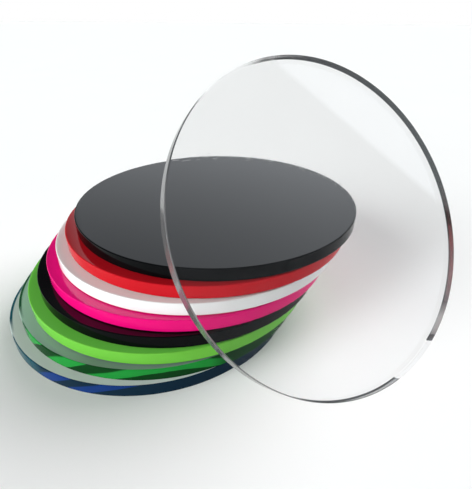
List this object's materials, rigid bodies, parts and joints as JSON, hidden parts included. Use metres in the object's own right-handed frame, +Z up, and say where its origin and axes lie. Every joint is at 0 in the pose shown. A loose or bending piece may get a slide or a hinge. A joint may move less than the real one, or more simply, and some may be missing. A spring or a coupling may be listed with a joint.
{
  "type": "circle template set",
  "caption": "Plain round acrylic discs used as drawing templates, fanned in a flat stack, with a clear disc standing on its edge and leaning back on the stack.",
  "frame": {"origin": "centre of the bottom disc's flat underside, on the floor", "axes": "+Z up out of the stack, +X to the right and +Y to the back as seen from the front, where the leaning disc stands at the right"},
  "size_m": [0.1551, 0.1212, 0.0841],
  "materials": {
    "acrylic_clear_blue_tint": "gloss",
    "acrylic_clear_green_tint": "gloss",
    "acrylic_green": "gloss",
    "acrylic_black": "gloss",
    "acrylic_pink": "gloss",
    "acrylic_white": "gloss",
    "acrylic_red": "gloss",
    "acrylic_clear": "gloss"
  },
  "bodies": {
    "disc_clear_blue": {"disc_clear_blue": "acrylic_clear_blue_tint"},
    "disc_clear_green": {"disc_clear_green": "acrylic_clear_green_tint"},
    "disc_green": {"disc_green": "acrylic_green"},
    "disc_black_lower": {"disc_black_lower": "acrylic_black"},
    "disc_pink": {"disc_pink": "acrylic_pink"},
    "disc_white": {"disc_white": "acrylic_white"},
    "disc_red": {"disc_red": "acrylic_red"},
    "disc_black_top": {"disc_black_top": "acrylic_black"},
    "disc_clear_leaning": {"disc_clear_leaning": "acrylic_clear"}
  },
  "joints": [
    {"name": "lift_clear_green", "type": "slide", "parent": "disc_clear_blue", "child": "disc_clear_green", "axis": [-0.2955, 0.4899, 0.8202], "range_m": [0, 0.025]},
    {"name": "lift_green", "type": "slide", "parent": "disc_clear_green", "child": "disc_green", "axis": [-0.2955, 0.4899, 0.8202], "range_m": [0, 0.025]},
    {"name": "lift_black_lower", "type": "slide", "parent": "disc_green", "child": "disc_black_lower", "axis": [-0.2955, 0.4899, 0.8202], "range_m": [0, 0.025]},
    {"name": "lift_pink", "type": "slide", "parent": "disc_black_lower", "child": "disc_pink", "axis": [-0.2955, 0.4899, 0.8202], "range_m": [0, 0.025]},
    {"name": "lift_white", "type": "slide", "parent": "disc_pink", "child": "disc_white", "axis": [-0.2955, 0.4899, 0.8202], "range_m": [0, 0.025]},
    {"name": "lift_red", "type": "slide", "parent": "disc_white", "child": "disc_red", "axis": [-0.2955, 0.4899, 0.8202], "range_m": [0, 0.025]},
    {"name": "lift_black_top", "type": "slide", "parent": "disc_red", "child": "disc_black_top", "axis": [-0.2955, 0.4899, 0.8202], "range_m": [0, 0.025]},
    {"name": "tilt_clear_leaning", "type": "hinge", "parent": "disc_clear_blue", "child": "disc_clear_leaning", "pos_m": [0.07307, -0.04525, 0], "axis": [0.8563, 0.5165, 0], "range_deg": [0, 34]}
  ]
}
